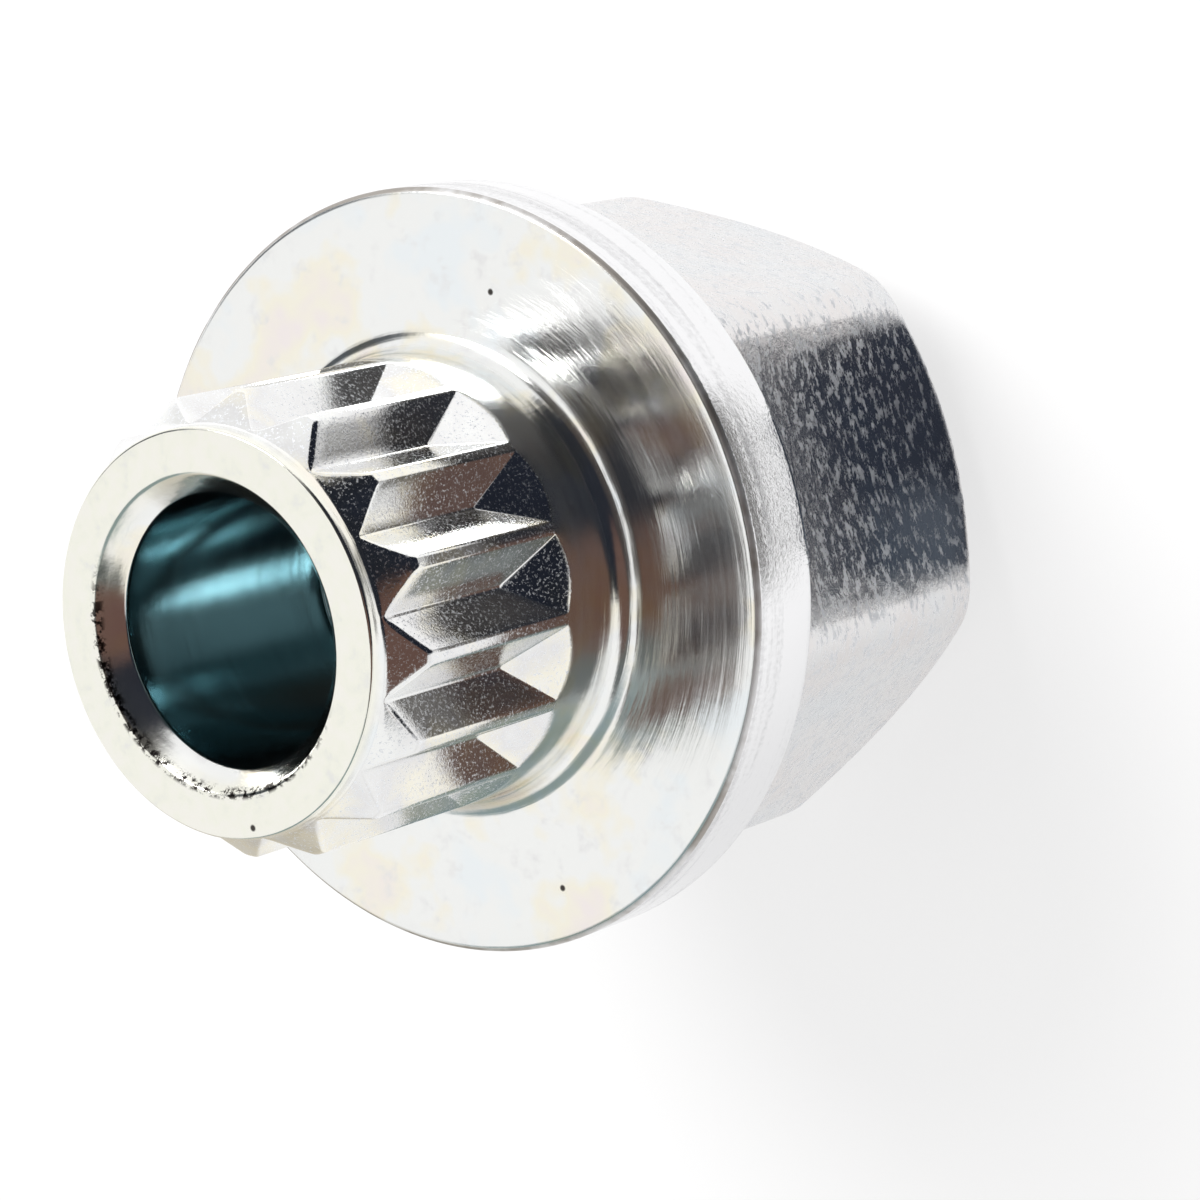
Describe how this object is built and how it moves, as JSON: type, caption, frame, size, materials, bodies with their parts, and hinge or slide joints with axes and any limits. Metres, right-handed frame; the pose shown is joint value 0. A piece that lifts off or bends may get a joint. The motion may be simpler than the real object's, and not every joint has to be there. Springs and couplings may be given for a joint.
{
  "type": "locking wheel nut key",
  "caption": "Plated steel key for locking wheel nuts: a drive hexagon for the wheel brace, a round flange, and a splined nose with a blind bore that fits into the nut.",
  "frame": {"origin": "middle of the flat end face of the hexagon, on which the key stands", "axes": "+Z along the key's axis towards the splined nose, +X through a corner of the hexagon and the bottom of a spline groove"},
  "size_m": [0.024, 0.024, 0.027],
  "materials": {
    "zinc_plated_steel": "bright zinc plating with a faint iridescent tint, lightly scratched"
  },
  "bodies": {
    "root": {"wheel_nut_key": "zinc_plated_steel"}
  },
  "joints": []
}
